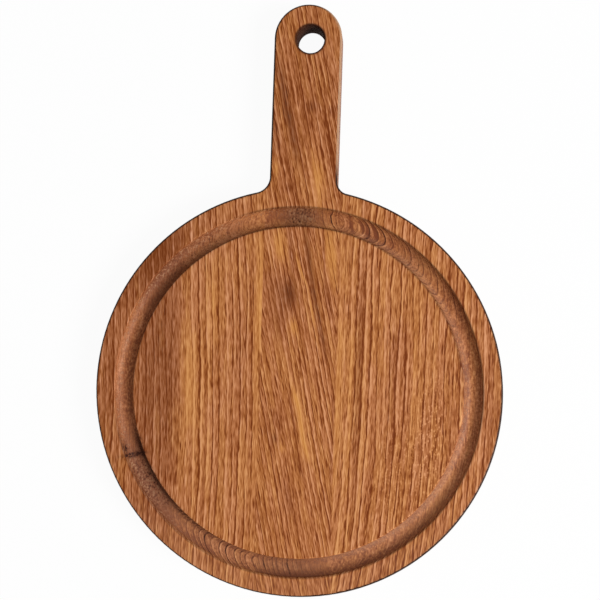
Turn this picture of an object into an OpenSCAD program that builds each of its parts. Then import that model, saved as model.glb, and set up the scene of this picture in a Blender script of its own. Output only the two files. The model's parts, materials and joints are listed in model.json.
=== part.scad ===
/* [Disc] */
// Diameter of the round board
disc_d = 300; // [240:5:380]
// Thickness of the board
thickness = 22; // [16:1:30]
// Radius that rounds the outer edges, above and below
edge_r = 2; // [1:0.5:4]
// Flat rim between the groove and the edge of the disc
rim_w = 13.7; // [8:0.1:30]

/* [Groove] */
// Width of the groove at the surface, from lip to lip
groove_w = 15.2; // [12:0.2:20]
// Depth of the groove at its middle
groove_depth = 5; // [2:0.5:6.5]
// Radius of the two rounded lips of the groove
lip_r = 0.8; // [0.3:0.1:2]

/* [Handle] */
// Width of the handle
handle_w = 50; // [40:1:70]
// Length of the handle past the edge of the disc
handle_l = 136; // [80:2:200]
// Radius of the neck on the left of the handle
left_neck_r = 12; // [5:1:40]
// Radius of the neck on the right of the handle
right_neck_r = 9; // [5:1:40]

/* [Hanging hole] */
// Diameter of the hole
hole_d = 20.5; // [12:0.5:26]
// Distance of the hole's centre from the end of the handle
hole_inset = 26; // [20:1:60]
// Distance of the hole's centre from the handle's centre line, to the right
hole_shift = 1.7; // [-4:0.1:4]
// Radius that rounds the two rims of the hole
hole_edge_r = 1.2; // [0.5:0.1:3]

/* [Staves] */
// How far the centre stave runs past the left side of the handle
left_margin = 2; // [1.5:0.1:8]
// How far the centre stave runs past the right side of the handle
right_margin = 3.5; // [1.5:0.1:8]
// Turn of the glue lines from the handle's centre line, in degrees
stave_turn = 0.3; // [-0.3:0.1:0.4]

/* [Hidden] */
$fn = 144;
disc_r = disc_d / 2;
handle_half = handle_w / 2;
handle_end_y = disc_r + handle_l;
end_centre_y = handle_end_y - handle_half;
groove_r = disc_r - rim_w - groove_w / 2;
// Reaches past the board from its middle in every direction
reach = handle_end_y + disc_r;
left_glue_x = -handle_half - left_margin;
right_glue_x = handle_half + right_margin;
// Cutting shapes run this far past the faces that they cut
over = 1;
// The arcs of the necks cut this deep into the disc and the handle, which they would else only touch
neck_bite = 0.02;
// The channel's arc cuts this deep into the arcs of its lips
lip_bite = 0.01;

// Centre of the arc of a neck, which touches the disc and the handle's side
function neck_centre(r) =
    [handle_half + r, sqrt(pow(disc_r + r, 2) - pow(handle_half + r, 2))];

// A quarter of a round, which fills the corner of a square section
module quarter(r) {
    intersection() {
        circle(r);
        square(r);
    }
}

// Section of the wood from x = 0 out to an edge with both corners rounded
module edge_section(reach, r) {
    square([reach - r, thickness]);
    translate([reach - r, r])
        square([r, thickness - 2 * r]);
    translate([reach - r, thickness - r])
        quarter(r);
    translate([reach - r, r])
        mirror([0, 1])
        quarter(r);
}

// A round opening through the board, with both of its rims rounded
module opening(opening_r, r) {
    rotate_extrude()
        difference() {
            translate([0, -over])
                square([opening_r + r, thickness + 2 * over]);
            translate([opening_r + r + over, 0])
                mirror([1, 0])
                edge_section(r + over, r);
        }
}

module disc() {
    rotate_extrude()
        edge_section(disc_r, edge_r);
}

// Straight bar from within the disc, with a round end
module handle() {
    translate([0, end_centre_y, 0]) {
        rotate([90, 0, 0])
            linear_extrude(end_centre_y - disc_r / 2) {
                edge_section(handle_half, edge_r);
                mirror([1, 0])
                    edge_section(handle_half, edge_r);
            }
        rotate_extrude(angle = 180)
            edge_section(handle_half, edge_r);
    }
}

// Fills the corner between the disc and the right side of the handle
module neck_block(r) {
    linear_extrude(thickness)
        polygon([[0, 0], neck_centre(r), [0, neck_centre(r)[1]]]);
}

// Rounds that corner out again to the arc of the neck
module neck_arc(r) {
    translate(neck_centre(r))
        opening(r + neck_bite, edge_r);
}

// Round-bottomed channel with its lips eased into the surface
module groove() {
    half_w = groove_w / 2;
    // Distance from the middle of the channel's arc to the middle of a lip's arc
    lip_reach = (pow(half_w, 2) + pow(groove_depth, 2)) / (2 * groove_depth);
    arc_r = lip_reach - lip_r;
    arc_y = thickness - groove_depth + arc_r;
    lip_y = thickness - lip_r;
    // The lip's arc runs into the channel's arc at this height
    lip_foot_y = lip_y + lip_r * (arc_y - lip_y) / lip_reach;
    rotate_extrude()
        translate([groove_r, 0]) {
            translate([0, arc_y])
                circle(arc_r + lip_bite);
            difference() {
                translate([-half_w, lip_foot_y])
                    square([groove_w, thickness + over - lip_foot_y]);
                for (side = [-1, 1])
                    translate([side * half_w, lip_y])
                        circle(lip_r);
            }
        }
}

module hanging_hole() {
    translate([hole_shift, handle_end_y - hole_inset, 0])
        opening(hole_d / 2, hole_edge_r);
}

module board() {
    difference() {
        union() {
            disc();
            handle();
            neck_block(right_neck_r);
            mirror([1, 0, 0])
                neck_block(left_neck_r);
        }
        neck_arc(right_neck_r);
        mirror([1, 0, 0])
            neck_arc(left_neck_r);
        groove();
        hanging_hole();
    }
}

// The strip of the board between two glue lines
module stave(from_x, to_x) {
    intersection() {
        board();
        rotate([0, 0, stave_turn])
            translate([from_x, -reach, -over])
            cube([to_x - from_x, 2 * reach, thickness + 2 * over]);
    }
}

module left_stave() {
    color([0.60, 0.37, 0.21])
        stave(-reach, left_glue_x);
}

module centre_stave() {
    color([0.70, 0.46, 0.26])
        stave(left_glue_x, right_glue_x);
}

module right_stave() {
    color([0.66, 0.42, 0.24])
        stave(right_glue_x, reach);
}

left_stave();
centre_stave();
right_stave();
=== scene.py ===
import json
import math

import bmesh
import bpy
from mathutils import Euler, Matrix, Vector


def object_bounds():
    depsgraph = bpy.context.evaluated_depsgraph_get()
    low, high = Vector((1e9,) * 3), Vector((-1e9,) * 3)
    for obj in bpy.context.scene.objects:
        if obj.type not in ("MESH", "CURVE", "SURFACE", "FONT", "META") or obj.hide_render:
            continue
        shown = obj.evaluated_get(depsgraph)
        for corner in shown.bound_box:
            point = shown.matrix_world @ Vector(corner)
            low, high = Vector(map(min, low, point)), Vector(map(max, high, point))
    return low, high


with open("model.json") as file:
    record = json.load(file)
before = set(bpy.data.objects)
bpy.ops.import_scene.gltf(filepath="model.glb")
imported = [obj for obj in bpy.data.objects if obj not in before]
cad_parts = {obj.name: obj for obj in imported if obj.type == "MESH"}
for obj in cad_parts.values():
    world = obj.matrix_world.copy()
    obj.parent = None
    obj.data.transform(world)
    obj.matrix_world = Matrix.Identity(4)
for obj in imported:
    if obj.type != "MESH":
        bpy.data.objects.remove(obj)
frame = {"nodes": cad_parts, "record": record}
cad_low, cad_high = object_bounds()

# Sizes of the board in millimetres, the groove's as the solids have them
MM_PER_M = 1000.0
DISC_R = round(cad_high[0] * MM_PER_M)
THICKNESS = round(cad_high[2] * MM_PER_M)
GROOVE_R = 128.7
GROOVE_HALF = 7.6
mounts = {mount["name"]: mount for mount in frame["record"]["mounts"]}
hanging_hole = mounts["hanging_hole"]
HOLE_AT = [metres * MM_PER_M for metres in hanging_hole["pos_m"][:2]]
HOLE_R = hanging_hole["dims"]["r_mm"]


# Shader values
class Tone:
    """One value of a finish. Its sums, differences, products and quotients add Math nodes."""

    def __init__(self, finish, socket):
        self.finish = finish
        self.socket = socket

    def __add__(self, other):
        return self.finish.maths("ADD", self, other)

    def __sub__(self, other):
        return self.finish.maths("SUBTRACT", self, other)

    def __rsub__(self, other):
        return self.finish.maths("SUBTRACT", other, self)

    def __mul__(self, other):
        return self.finish.maths("MULTIPLY", self, other)

    def __truediv__(self, other):
        return self.finish.maths("DIVIDE", self, other)

    __radd__ = __add__
    __rmul__ = __mul__


class Finish:
    """The nodes that make a material, or the studio around the board."""

    def __init__(self, owner):
        owner.use_nodes = True
        self.owner = owner
        self.tree = owner.node_tree
        self.tree.nodes.clear()

    def node(self, kind, settings=None, inputs=None, output=0):
        """A node of a kind with its settings, then the values or links of its sockets."""
        made = self.tree.nodes.new("ShaderNode" + kind)
        for key, value in (settings or {}).items():
            if key == "stops":
                self.set_stops(made.color_ramp, value)
            else:
                setattr(made, key, value)
        for key, value in (inputs or {}).items():
            if isinstance(value, Tone):
                self.tree.links.new(value.socket, made.inputs[key])
            else:
                made.inputs[key].default_value = value
        return Tone(self, made.outputs[output]) if len(made.outputs) else None

    def set_stops(self, ramp, stops):
        """Gives a colour ramp its stops, each with its place from 0 to 1 and its colour."""
        while len(ramp.elements) < len(stops):
            ramp.elements.new(0.5)
        for element, (at, colour) in zip(ramp.elements, stops):
            element.position = at
            element.color = colour

    def maths(self, operation, *values):
        return self.node("Math", {"operation": operation}, dict(enumerate(values)))

    def vector(self, operation, *values, output=0):
        return self.node("VectorMath", {"operation": operation}, dict(enumerate(values)), output)

    def parts_of(self, vector):
        """The x, y and z of a vector."""
        return [self.node("SeparateXYZ", inputs={0: vector}, output=axis) for axis in range(3)]

    def join(self, x, y, z):
        return self.node("CombineXYZ", inputs={0: x, 1: y, 2: z})

    def tint(self, share, under, over):
        """Lays one colour over another by a share of it."""
        settings = {"data_type": "RGBA", "clamp_factor": True}
        return self.node("Mix", settings, {0: share, 6: under, 7: over}, output=2)

    def step(self, value, low, high):
        """Rises smoothly from 0 at low to 1 at high, or falls if low is the larger."""
        settings = {"interpolation_type": "SMOOTHSTEP"}
        return self.node("MapRange", settings, {"Value": value, "From Min": low, "From Max": high})

    def hump(self, value, centre, width):
        """A round hump, 1 at its centre and a third at one width from it."""
        off = (value - centre) / width
        return self.maths("EXPONENT", off * off * -1)

    def patch(self, place, middle, size, lean):
        """A soft oval patch, 1 in its middle. It leans to the left upwards, in degrees."""
        own = self.node(
            "Mapping",
            {"vector_type": "TEXTURE"},
            {
                "Vector": place,
                "Location": (*middle, 0),
                "Rotation": (0, 0, math.radians(lean)),
                "Scale": (*size, 1),
            },
        )
        return self.maths("EXPONENT", self.vector("DOT_PRODUCT", own, own, output=1) * -1)

    def noise(self, place, across, along, detail=2.0, roughness=0.55):
        """Noise from -1 to 1, of two lengths in millimetres across and along the grain."""
        scaled = self.vector("MULTIPLY", place, (1 / across, 1 / along, 1 / across))
        noise = self.node(
            "TexNoise",
            {"noise_dimensions": "3D"},
            {"Vector": scaled, "Scale": 1.0, "Detail": detail, "Roughness": roughness},
        )
        return (noise - 0.5) * 2

    def cells(self, place, across, along):
        """Distance to the middle of the nearest long cell, such as a pore of the wood."""
        scaled = self.vector("MULTIPLY", place, (1 / across, 1 / along, 1 / across))
        return self.node("TexVoronoi", {"feature": "F1"}, {"Vector": scaled, "Scale": 1.0})


def srgb(red, green, blue):
    """A colour given as a screen shows it, in linear light."""
    linear = [
        c / 12.92 if c <= 0.04045 else ((c + 0.055) / 1.055) ** 2.4
        for c in (red / 255, green / 255, blue / 255)
    ]
    return (*linear, 1.0)


# Oiled oak, from its darkest to its palest
OAK_TONES = [
    (0.0, srgb(116, 49, 3)),
    (0.25, srgb(145, 78, 32)),
    (0.5, srgb(174, 106, 60)),
    (0.75, srgb(198, 131, 84)),
    (1.0, srgb(219, 155, 108)),
]
# Shares of red, green and blue that turn the oak's colour
GOLDEN = (1.01, 1.005, 0.85)
ROSY = (1.0, 0.98, 1.0)
GILDED = (1.0, 0.98, 0.62)
DUSKY = (1.0, 1.3, 2.6)
# Colours laid over the oak
SMOKY = srgb(70, 44, 32)
DUSTY = srgb(190, 160, 140)
TORN_GREY = srgb(112, 92, 66)
TORN_PALE = srgb(176, 142, 108)
# Painted glints on fuzzy fibres of the groove walls that face the lamp
GLINT_PALE = srgb(198, 148, 110)
# Scorched brown: for burn marks, ring arcs and torn wood in the groove, and for the painted shade
# on its lip edges and on its inner wall at the lower left
BURNT_AND_SHADE = srgb(58, 28, 18)
EDGE_BROWN = srgb(34, 17, 10)
# Painted shade for the deep hanging hole, over its darker end grain
HOLE_SHADE_BROWN = srgb(48, 20, 10)
# A pale painted highlight for the handle's right rounding, which faces the lamp
HIGHLIGHT_PALE = srgb(176, 144, 116)
# Height of the grain in metres, and how much an oiled face mirrors
GRAIN_RELIEF = 0.00006
OILED_SHEEN = 0.12
# Direction of the lamp over the face, by which the walls of the groove catch light
TOWARDS_LAMP = (0.95, -0.3)


class Oak(Finish):
    """A stave's own oak. Its places are in millimetres."""

    def __init__(self, name, curve, tilt):
        """curve says how the grain wanders sideways along the board, tilt how it slants inwards."""
        super().__init__(bpy.data.materials.new(name))
        place = self.node("TexCoord", output="Object")
        self.spot = self.vector("MULTIPLY", place, (MM_PER_M,) * 3)
        self.x, self.y, height = self.parts_of(self.spot)
        self.level = self.join(self.x, self.y, 0.0)
        depth = THICKNESS - height
        self.across = self.x + depth * tilt
        bend = 1.0
        for share in curve:
            bend = self.y * bend
            self.across = self.across + bend * share
        self.grain = self.join(self.across, self.y, depth)
        self.facing = self.parts_of(self.node("NewGeometry", output="Normal"))
        self.from_middle = self.maths("SQRT", self.x * self.x + self.y * self.y)
        self.past_groove = self.from_middle - GROOVE_R
        in_ring = self.step(
            self.maths("ABSOLUTE", self.past_groove), GROOVE_HALF + 1.0, GROOVE_HALF - 0.2
        )
        self.upper = self.step(depth, 12, 8)
        self.in_groove = self.step(depth, 0.2, 1.6) * in_ring * self.upper
        self.rough = self.noise(self.spot, 1.5, 1.9, 1.0, 0.5)

    def spots(self, patches, place=None):
        """The sum of soft patches, each with its middle, size, lean and amount."""
        total = 0.0
        for middle, size, lean, amount in patches:
            total = self.patch(place or self.level, middle, size, lean) * amount + total
        return total

    def rings(self, pitch, first, width, share, break_length, bold):
        """Growth rings: each has a dark porous line, pale wood beside it and a tone of its own."""
        wavy = self.across + self.noise(self.grain, 4, 12, 1.0) * 0.9
        crowding = self.noise(self.grain, pitch * 2.5, 120, 1.0) * (pitch * 0.7)
        ring = (wavy + crowding - first) / pitch
        count = self.maths("FLOOR", ring + 0.5)
        off_line = (ring - count) * pitch
        dark = self.node("TexWhiteNoise", {"noise_dimensions": "1D"}, {"W": count})
        light = self.node("TexWhiteNoise", {"noise_dimensions": "1D"}, {"W": count + 0.5})
        fading = self.maths("MAXIMUM", self.noise(self.grain, 3, 40, 1.0) * 1.5 + 1, 0.0)
        broken = self.noise(self.grain, 0.9, break_length, 2.0)
        line = self.hump(off_line + broken * 0.6, 0.0, width) * (dark * dark + 0.25)
        line = line * share * fading * (broken * 1.4 + 1)
        marked = self.spots(bold, self.join(wavy + broken * 0.5, self.y, 0.0))
        self.line = line + marked * (broken * 0.7 + 1)
        pale = self.hump(off_line, width * 2.6, width * 1.6) * (light * 0.8 + 0.2) * share
        own = self.maths("FLOOR", ring) * 40
        belt = self.noise(self.join(own, self.y, 0.0), 6, 70, 1.0)
        self.warm = self.noise(self.join(own, self.y, 50.0), 6, 90, 1.0)
        return pale * 0.34 + belt * 0.18 - self.line * 0.62

    def streaks(self, band, streak, streak_length, dash, dash_length, fibre):
        """Broad bands and fine streaks along the grain, and crisp dark and pale dashes."""
        broad = self.noise(self.grain, 6, 60, 2.0) * band
        fine = self.noise(self.grain, 1.4, streak_length, 2.0, 0.6) * streak
        self.fibre = self.noise(self.grain, 0.6, streak_length * 0.3, 1.0)
        crowded = self.step(self.noise(self.grain, 3.5, 30, 1.0), -0.5, 0.35)
        narrow = self.cells(self.grain, 1.5, dash_length)
        wide = self.cells(self.grain, 2.3, dash_length * 1.7)
        pale = self.cells(self.vector("ADD", self.grain, (40, 0, 0)), 1.7, dash_length)
        self.pore = self.step(narrow, 0.3, 0.12) * 0.8 + self.step(wide, 0.26, 0.1)
        dashes = self.pore * (crowded * 0.9 + 0.35) - self.step(pale, 0.34, 0.1) * 0.5
        return broad + fine + self.fibre * fibre - dashes * dash

    def figure(self, rings, streaks, arcs, clouds):
        """The grain. It fades in the groove, apart from the arcs there, and in strong patches."""
        ringed = self.rings(**rings) * (1 - self.in_groove * (0.8 - arcs * 0.9))
        streaked = self.streaks(**streaks) * (1 - self.in_groove * 0.45)
        strength = self.maths("MINIMUM", 1 - clouds * 1.8, 1 + clouds * 0.5)
        return (ringed + streaked) * self.maths("MAXIMUM", strength, 0.25)

    def soaked_and_shaded(self, groove_tones, arcs):
        """How far the groove is darker: most where it cuts across the grain, on its inner wall
        towards the lower right and in rough spots, with painted shade on its outer wall at the
        bottom.
        """
        across_grain = self.y / self.from_middle
        inner_wall = self.step(self.past_groove, -0.7, -4.7) * self.step(self.x - self.y, 0, 80)
        # Painted shade on the outer wall at the bottom, which faces away from the lamp
        shaded_outer_wall = self.step(self.past_groove, 1.3, 5.3) * self.step(self.y, -75, -110)
        oil_and_shade = across_grain * across_grain * 0.1 + 0.09 - self.spots(groove_tones)
        oil_and_shade = oil_and_shade + inner_wall * 0.15 + shaded_outer_wall * 0.12
        blotches = self.noise(self.spot, 3.5, 3.5, 2.0) * 0.2
        return self.in_groove * (oil_and_shade + blotches + self.rough * (0.55 - arcs * 0.3) - arcs * 0.1)

    def speckled(self, specks):
        """Small pale specks, in some places of the face."""
        speck = self.step(self.cells(self.grain, 1.7, 2.6), 0.42, 0.2)
        return (speck - 0.25) * self.spots(specks) * self.upper

    def coloured(self, value, clouds):
        """The oak's colour at a value, in places more golden and in places more rosy."""
        plain = self.node("ValToRGB", {"stops": OAK_TONES}, {"Fac": value})
        warmth = self.noise(self.grain, 8, 50, 1.0) + self.warm + clouds * 1.5
        warmth = warmth + self.noise(self.grain, 1.6, 14, 1.0) * 0.6
        golden = self.vector("MULTIPLY", plain, GOLDEN)
        rosy = self.vector("MULTIPLY", plain, ROSY)
        colour = self.tint(self.step(warmth, -0.3, 0.3), rosy, golden)
        colour = self.tint(clouds * 2.2, colour, self.vector("MULTIPLY", colour, GILDED))
        return self.tint(clouds * -0.8, colour, self.vector("MULTIPLY", colour, DUSKY))

    def dusted(self, colour, low_rim):
        """Pale dust, most of all in the groove and on the rim below it."""
        dusty_wall = self.step(self.past_groove, -0.7, -4.7) * self.step(self.x, 0, 60)
        dust = self.step(self.y, 20, -110) * 0.06 + dusty_wall * 0.1 + 0.07
        return self.tint(self.in_groove * dust + low_rim * 0.05 + 0.01, colour, DUSTY)

    def routed(self, colour, arcs, ragged, grey):
        """Painted glints on fuzzy fibres of the groove walls that face the lamp, and marks of the
        cutter: arcs of rings and torn wood.
        """
        lit = self.facing[0] * TOWARDS_LAMP[0] + self.facing[1] * TOWARDS_LAMP[1]
        # Painted glints: pale specks only on the groove walls that face the lamp
        fibre_glints = self.in_groove * self.step(lit, 0.05, 0.5) * self.step(self.rough, 0.05, 0.4)
        colour = self.tint(fibre_glints * 0.4, colour, GLINT_PALE)
        colour = self.tint(self.in_groove * arcs * self.line * 0.75, colour, BURNT_AND_SHADE)
        colour = self.tint(ragged * grey, colour, TORN_GREY)
        colour = self.tint(ragged * self.step(self.rough, 0.0, -0.4), colour, BURNT_AND_SHADE)
        return self.tint(ragged * self.step(self.rough, 0.0, 0.4) * 0.35, colour, TORN_PALE)

    def shaded_lips(self, colour):
        """Paints shade along the groove's inner lip in the upper half, and along its outer lip but
        for the upper left, which faces the lamp.
        """
        inner_lip = self.hump(self.past_groove, 0.5 - GROOVE_HALF, 0.8)
        outer_lip = self.hump(self.past_groove, GROOVE_HALF - 0.3, 0.75)
        off_upper_left = self.step(self.y * 0.5 - self.x * 0.87, 115, 90)
        lip_shade = inner_lip * self.step(self.y, -20, 40) + outer_lip * off_upper_left
        return self.tint(lip_shade * self.upper * 0.55, colour, BURNT_AND_SHADE)

    def edged(self, colour):
        """Darkens the rounded edges, paints shade into the hole, and paints a pale highlight on the
        handle's right rounding, which faces the lamp.
        """
        outside = self.step(self.from_middle, DISC_R - 6, DISC_R - 3)
        on_handle = self.step(self.y, DISC_R + 6, DISC_R + 24)
        lit_side = self.step(self.facing[0], 0.1, 0.5) * on_handle
        lit_side = lit_side * self.step(self.facing[2], 0.0, 0.25)
        across = self.x - HOLE_AT[0]
        along = self.y - HOLE_AT[1]
        from_hole = self.maths("SQRT", across * across + along * along)
        self.in_hole = self.step(from_hole, HOLE_R + 2.4, HOLE_R + 0.6)
        level = self.maths("ABSOLUTE", self.facing[2])
        rolled = self.step(level, 1.0, 0.88)
        upright = self.step(level, 0.3, 0.05)
        dark = rolled * (1 - upright * 0.6) * outside * (1 - lit_side)
        colour = self.tint(dark * 0.95, colour, EDGE_BROWN)
        # Painted highlight on the handle's right rounding, where it faces the lamp
        handle_highlight = lit_side * (1 - self.in_hole) * (self.fibre * 0.5 + 0.7)
        colour = self.tint(handle_highlight, colour, HIGHLIGHT_PALE)
        # Painted shade in the deep hole, over its darker end grain
        return self.tint(self.in_hole * 0.9, colour, HOLE_SHADE_BROWN)

    def shade(self, colour, roughness, relief):
        """Gives the surface its colour, its roughness and the relief of its grain."""
        bump = self.node(
            "Bump", inputs={"Strength": 1.0, "Distance": GRAIN_RELIEF, "Height": relief}
        )
        surface = self.node(
            "BsdfPrincipled",
            inputs={
                "Base Color": colour,
                "Roughness": roughness,
                "Specular IOR Level": OILED_SHEEN,
                "Normal": bump,
            },
        )
        self.node("OutputMaterial", inputs={"Surface": surface})


def oak(
    name, curve, tilt, tone, rings, streaks, face_tones, smears, groove_tones, arcs, torn, grey,
    specks=(), burns_and_shade=(),
):
    """A stave's finish, with its own rings, streaks, soft patches and marks."""
    wood = Oak(name, curve, tilt)
    clouds = wood.spots(face_tones)
    arced = wood.spots(arcs)
    ragged = wood.in_groove * wood.spots(torn)
    low_rim = wood.step(wood.past_groove, 7.3, 10.3) * wood.step(wood.y, -60, -120) * wood.upper
    value = wood.figure(rings, streaks, arced, clouds) + clouds + tone
    value = value - wood.soaked_and_shaded(groove_tones, arced) - low_rim * 0.08
    value = value + ragged * (wood.rough - 0.05)
    if specks:
        value = value + wood.speckled(specks)
    colour = wood.coloured(value, clouds)
    colour = wood.tint(wood.spots(smears) * (wood.fibre * 1.5 + wood.pore + 0.6), colour, SMOKY)
    colour = wood.dusted(colour, low_rim)
    colour = wood.routed(colour, arced, ragged, grey)
    # Burn marks, and painted shade along the groove's inner wall at the lower left, made speckled
    # by the rough noise
    if burns_and_shade:
        burnt_and_shaded = wood.spots(burns_and_shade) * wood.upper * (wood.rough * 2 + 1)
        colour = wood.tint(burnt_and_shaded, colour, BURNT_AND_SHADE)
    colour = wood.edged(wood.shaded_lips(colour))
    relief = wood.fibre * 0.3 - wood.pore * 0.8 - wood.line * 0.5 + ragged * wood.rough * 2
    wood.shade(colour, wood.in_hole * 0.4 + 0.5 - value * 0.08, relief)
    return wood.owner


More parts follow.
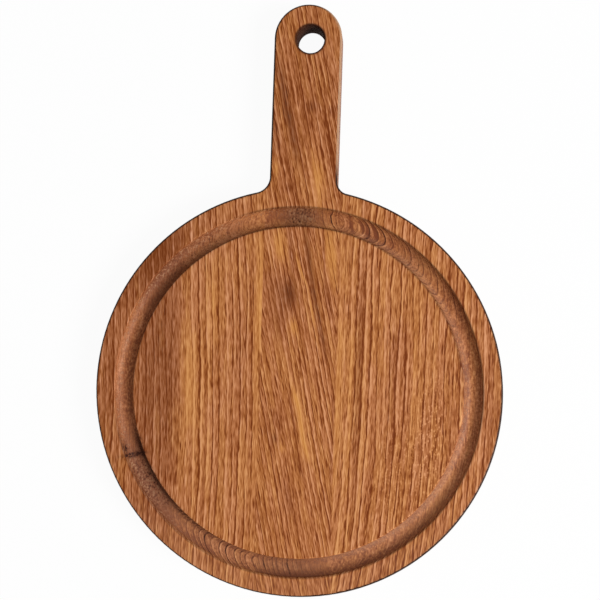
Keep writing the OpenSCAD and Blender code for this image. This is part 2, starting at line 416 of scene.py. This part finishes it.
# The staves' finishes. A patch is its middle, its size across and along the board, its lean to the
# left in degrees, and its amount. In the tones, a patch with an amount below 0 is a dark one.
materials = {
    "left_stave": oak(
        "oiled_oak_left",
        curve=(0.0262, 0.000192),
        tilt=1.4,
        tone=0.56,
        rings=dict(
            pitch=5.0, first=-71.8, width=0.42, share=1.35, break_length=8,
            bold=[
                ((-71.8, 20), (1.0, 90), 0, 0.6),
                ((-67.2, 0), (0.8, 90), 0, 0.5),
                ((-75.2, 0), (1.0, 60), 0, -0.3),
                ((-64.8, 30), (1.1, 50), 0, -0.35),
                ((-46.8, 0), (0.7, 90), 0, 0.4),
                ((-57.0, 20), (0.6, 60), 0, 0.25),
                ((-33.0, 40), (0.7, 60), 0, 0.35),
            ],
        ),
        streaks=dict(
            band=0.15, streak=0.34, streak_length=24,
            dash=0.42, dash_length=15, fibre=0.8,
        ),
        face_tones=[
            ((-108, 0), (16, 110), 0, -0.29),
            ((-93, 15), (5.5, 90), 0, -0.16),
            ((-113, 95), (18, 48), -50, -0.34),
            ((-141, 0), (14, 80), 0, -0.22),
            ((-80, 5), (5, 42), 2, 0.2),
            ((-29.3, 68), (2.6, 55), 0, 0.26),
            ((-64, 62), (3.5, 26), 3, 0.2),
            ((-42, 30), (5, 30), 0, -0.12),
        ],
        smears=[((-104, 10), (16, 90), 0, 0.13), ((-104, 50), (5, 20), 3, 0.1)],
        groove_tones=[
            ((-105, -75), (24, 32), 35, -0.27),
            ((-60, -113), (25, 14), 0, -0.12),
            ((-75, -112), (4, 30), 56, -0.2),
            ((-96, 88), (16, 30), -42, -0.1),
            # Lighter inner wall at the top, where the lamp leaves it in shade: painted light
            ((-58, 108), (3, 26), 118, 0.34),
            ((-67, 116), (3, 14), 120, -0.14),
            ((-133.5, 16), (2.6, 40), -7, 0.2),
            ((-127, -10), (5, 50), 4, -0.13),
            ((-60, -107), (3, 22), 60, -0.14),
            ((-114, -67), (9, 24), 31, -0.12),
        ],
        arcs=[((-52, -117), (30, 12), -24, 1.0)],
        torn=[
            ((-98, 82), (16, 26), -40, 0.4),
            ((-66, 110), (10, 24), -60, 0.5),
            ((-108, -70), (12, 26), 33, 0.7),
            ((-103, -66), (4, 26), 32, 0.6),
        ],
        grey=0.1,
        burns_and_shade=[
            # Painted shade on the groove's inner wall at the lower left, which faces away from the
            # lamp
            ((-115.3, -42.5), (2.4, 9), 22, 0.85),
            ((-120, -51.7), (7.5, 1.9), 13, 1.25),
            ((-126, -46.5), (1.6, 3.6), 20, 0.8),
            ((-72, 99.5), (1.6, 16), -54, 0.2),
            # Painted shade further down the same inner wall
            ((-107, -60), (2.0, 16), 31, 0.6),
            ((-91, -83), (2.0, 16), 44, 0.55),
            ((-75, -98), (2.0, 14), 55, 0.4),
        ],
    ),
    "centre_stave": oak(
        "oiled_oak_centre",
        curve=(0.2126,),
        tilt=0.5,
        tone=0.5,
        rings=dict(
            pitch=3.4, first=0.0, width=0.34, share=1.3, break_length=12,
            bold=[
                ((-15, -25), (0.6, 32), 0, 0.45),
                ((-6, -36), (0.8, 36), 0, 0.45),
                ((4, -60), (0.6, 34), -3, 0.4),
                ((-24, -60), (0.6, 40), 0, 0.35),
                ((56, 185), (0.6, 32), 0, 0.55),
                ((60.5, 200), (0.5, 40), 0, 0.5),
                ((36.9, 230), (0.5, 22), 0, 0.5),
                ((42.3, 222), (0.45, 24), 0, 0.55),
                ((51.4, 236), (0.5, 14), 4, 0.5),
                ((62.4, 223), (0.5, 26), 5, 0.55),
                ((67.1, 234), (0.45, 16), 8, 0.5),
                ((57.9, 195), (0.5, 28), 2, 0.5),
                ((50.3, 165), (0.6, 16), 2, 0.55),
                ((23.4, 162), (0.6, 16), 8, 0.5),
                ((39, 186), (0.5, 18), 4, 0.45),
                ((20, 178), (0.6, 26), 0, 0.5),
                ((47, 168), (0.6, 22), 0, 0.5),
                ((42.5, 176), (0.5, 18), -4, 0.45),
                ((25.5, 172), (0.5, 22), 0, 0.4),
            ],
        ),
        streaks=dict(
            band=0.26, streak=0.38, streak_length=18,
            dash=0.56, dash_length=16, fibre=0.58,
        ),
        face_tones=[
            ((-16, 106), (5, 16), 10, 0.34),
            ((22.5, 100), (5.5, 24), 8, 0.34),
            ((16.8, 105), (0.8, 16), 5, -0.4),
            ((-7, 102), (1.8, 18), 6, -0.3),
            ((5, 105), (2.1, 16), 8, -0.2),
            ((9.5, 79), (2.0, 18), 11, -0.18),
            ((15, 54), (2.0, 16), 13, -0.16),
            ((20, 33), (2.0, 12), 13, -0.14),
            ((1, 88), (1.0, 16), 21, 0.34),
            ((9.5, 60), (1.0, 18), 13, 0.34),
            ((21, 70), (2, 16), 11, -0.25),
            ((-7, 72), (4, 8), 15, -0.22),
            ((-12, 70), (10, 20), 10, -0.18),
            ((-15, 47), (5, 13), 10, -0.16),
            ((-3.5, 48), (3, 6), 12, 0.36),
            ((0, -5), (1.6, 9), 18, 0.34),
            ((4.5, -25), (1.7, 15), 10, 0.34),
            ((9, -43), (1.6, 9), 18, 0.28),
            ((-2.5, -15), (0.9, 15), 11, -0.3),
            ((4, -54), (1.5, 8), 18, -0.28),
            ((-15, -22), (6, 10), 10, -0.14),
            ((-3, -78), (3, 14), 13, -0.24),
            ((-15, -35), (3, 4), 10, -0.12),
            ((-9, -42), (2.5, 4), 10, 0.2),
            ((-23, -98), (4, 18), 10, -0.1),
            ((27.5, -37), (0.8, 40), 0, -0.25),
            ((-17.5, 226), (2.6, 16), 10, -0.15),
            ((-12.5, 203), (2.6, 12), 15, -0.18),
            ((-7.5, 182), (2.4, 14), 12, -0.15),
            ((10.5, 160), (5, 26), 9, 0.38),
            ((5, 210), (4, 4), 0, -0.2),
            ((20, 207), (2.2, 4.5), 0, -0.3),
            ((-10, 150), (2.6, 3.2), 0, -0.3),
            ((-20, 165), (3, 8), 0, 0.3),
            ((0, 195), (60, 70), 0, -0.1),
            ((0, 78), (30, 40), 0, -0.05),
        ],
        smears=[
            ((6, 100), (2.2, 20), 10, 0.35),
            ((11.5, 68), (2.2, 16), 12, 0.3),
            ((17.5, 42), (2.2, 14), 13, 0.22),
            ((-7, 73), (4.5, 8), 15, 0.4),
            ((-13, 68), (7, 16), 10, 0.12),
            ((-15, -35), (3, 5), 10, 0.25),
            ((-17.5, 226), (3, 16), 10, 0.36),
            ((-12.5, 203), (3, 12), 15, 0.42),
            ((-7.5, 182), (2.6, 12), 12, 0.3),
            ((-21, 190), (2.4, 16), 8, 0.25),
            ((5, 210), (4, 4), 0, 0.15),
        ],
        groove_tones=[
            ((0, 128), (30, 14), 0, -0.2),
            # Lighter inner wall at the top, where the lamp leaves it in shade: painted light
            ((0, 122.5), (3, 34), 90, 0.36),
            ((0, -130), (34, 12), 0, -0.1),
            # Painted shade on the outer wall at the bottom, which faces away from the lamp
            ((-10, -136), (45, 3.5), 0, -0.36),
        ],
        arcs=[((-14, -129), (24, 10), 0, 0.7), ((22, 128), (8, 12), 0, 0.6)],
        torn=[((-1.5, 128), (13, 12), 0, 0.9), ((0, -129), (30, 6), 0, 0.3)],
        grey=0.3,
    ),
    "right_stave": oak(
        "oiled_oak_right",
        curve=(-0.0087, 0.0001745, -0.00000145),
        tilt=-1.4,
        tone=0.54,
        rings=dict(
            pitch=5.05, first=42.8, width=0.44, share=1.45, break_length=7,
            bold=[
                ((42.8, 20), (1.0, 110), 0, 0.65),
                ((47.8, 20), (1.0, 110), 0, 0.65),
                ((49.9, 20), (0.8, 100), 0, -0.4),
                ((79.2, 0), (0.8, 110), 0, 0.5),
                ((83.8, 0), (0.8, 80), 0, -0.4),
                ((68.2, 20), (0.7, 80), 0, 0.35),
                ((106.8, 0), (0.8, 60), 0, -0.35),
                ((110.5, 10), (1.2, 70), 0, 0.4),
            ],
        ),
        streaks=dict(
            band=0.22, streak=0.52, streak_length=22,
            dash=0.5, dash_length=15, fibre=0.8,
        ),
        face_tones=[
            ((145, 0), (12, 90), 0, -0.08),
            ((45.3, 20), (2.2, 80), 0, -0.15),
            ((70, 25), (6, 40), 0, -0.12),
            ((62, 40), (3, 60), 0, 0.12),
            ((31, 10), (2, 110), 0, 0.18),
            ((39.5, 10), (2, 90), 0, 0.14),
            ((86, 20), (2.2, 50), 0, 0.12),
        ],
        smears=[((45, 20), (3, 80), 0, 0.08)],
        groove_tones=[
            ((62, 112), (30, 20), 30, -0.2),
            ((105, 72), (16, 24), 35, -0.08),
            ((45, -122), (24, 12), -20, -0.08),
            ((118, 26), (4.5, 40), 12, -0.1),
            ((108, -72), (5, 34), -34, 0.1),
            ((123, 3), (3, 26), 0, -0.12),
            ((134.5, -25), (3, 34), -11, 0.1),
            ((117, 64), (4, 36), 28, -0.12),
            ((36, 124.5), (1.4, 8), 10, -0.6),
            ((47, 120), (1.9, 9), 30, -0.7),
            ((53.5, 119.5), (1.4, 8), 22, -0.5),
            ((42, 121), (1.6, 6), 24, 0.25),
        ],
        arcs=[((48, 119), (26, 12), -22, 0.9), ((100, 80), (12, 34), 39, 0.4)],
        torn=[((80, 93), (20, 12), 40, 0.45), ((95, -78), (14, 24), -40, 0.3)],
        grey=0.08,
        specks=[((97, -35), (12, 45), -4, 0.5), ((70, -60), (10, 40), -8, 0.3)],
    ),
}
for node, material in materials.items():
    stave = frame["nodes"][node]
    stave.data.materials.clear()
    stave.data.materials.append(material)

# Floor
FLOOR_R = 6.0
FLOOR_WHITE = 0.95
PAPER_GREY = (0.86, 0.86, 0.86, 1)
WHITE = (1, 1, 1, 1)
plan = bmesh.new()
bmesh.ops.create_circle(plan, cap_ends=True, segments=96, radius=FLOOR_R)
floor_mesh = bpy.data.meshes.new("floor")
plan.to_mesh(floor_mesh)
plan.free()
floor = bpy.data.objects.new("floor", floor_mesh)
bpy.context.scene.collection.objects.link(floor)
paper = Finish(bpy.data.materials.new("pale_paper"))
seen = paper.node("LightPath", output="Is Camera Ray")
mirrored = paper.node("LightPath", output="Is Glossy Ray")
through = paper.node("LightPath", output="Is Transmission Ray")
white = paper.maths("MAXIMUM", paper.maths("MAXIMUM", seen, mirrored), through)
matt = paper.node("BsdfDiffuse", inputs={"Color": PAPER_GREY})
lit = paper.node("Emission", inputs={"Color": WHITE, "Strength": 1.0})
blend = paper.node("MixShader", inputs={0: white * FLOOR_WHITE, 1: matt, 2: lit})
paper.node("OutputMaterial", inputs={"Surface": blend})
floor_mesh.materials.append(paper.owner)

# Studio light
FILL_LIGHT = 0.33
world = bpy.data.worlds.new("studio")
bpy.context.scene.world = world
studio = Finish(world)
fill = studio.node("Background", inputs={"Color": WHITE, "Strength": FILL_LIGHT})
backdrop = studio.node("Background", inputs={"Color": WHITE, "Strength": 1.0})
behind = studio.node("LightPath", output="Is Camera Ray")
around = studio.node("MixShader", inputs={0: behind, 1: fill, 2: backdrop})
studio.node("OutputWorld", inputs={"Surface": around})


def softbox(name, aim, azimuth, elevation, distance, size, power):
    """A square lamp that faces a place on the board, from a direction given in degrees."""
    lamp = bpy.data.lights.new(name, "AREA")
    lamp.shape = "SQUARE"
    lamp.size = size
    lamp.energy = power
    turned = bpy.data.objects.new(name, lamp)
    a, e = math.radians(azimuth), math.radians(elevation)
    out = Vector((math.cos(a) * math.cos(e), math.sin(a) * math.cos(e), math.sin(e)))
    turned.location = Vector(aim) + out * distance
    turned.rotation_euler = (-out).to_track_quat("-Z", "Y").to_euler()
    bpy.context.scene.collection.objects.link(turned)


softbox("key", (0, 0.05, 0), azimuth=-18, elevation=40, distance=3.0, size=1.3, power=95)

# Camera, over the board as the photo has it
CAMERA_AT = (0.06107, 0.05616, 0.75326)
CAMERA_TURN = (1.0451, 4.6968, 1.9660)
lens = bpy.data.cameras.new("camera")
lens.lens = 59.98
lens.sensor_width = 36.0
lens.clip_start = 0.01
lens.clip_end = 50.0
camera = bpy.data.objects.new("camera", lens)
camera.location = CAMERA_AT
camera.rotation_euler = Euler([math.radians(turn) for turn in CAMERA_TURN])
bpy.context.scene.collection.objects.link(camera)
bpy.context.scene.camera = camera
bpy.context.scene.view_settings.view_transform = "Standard"
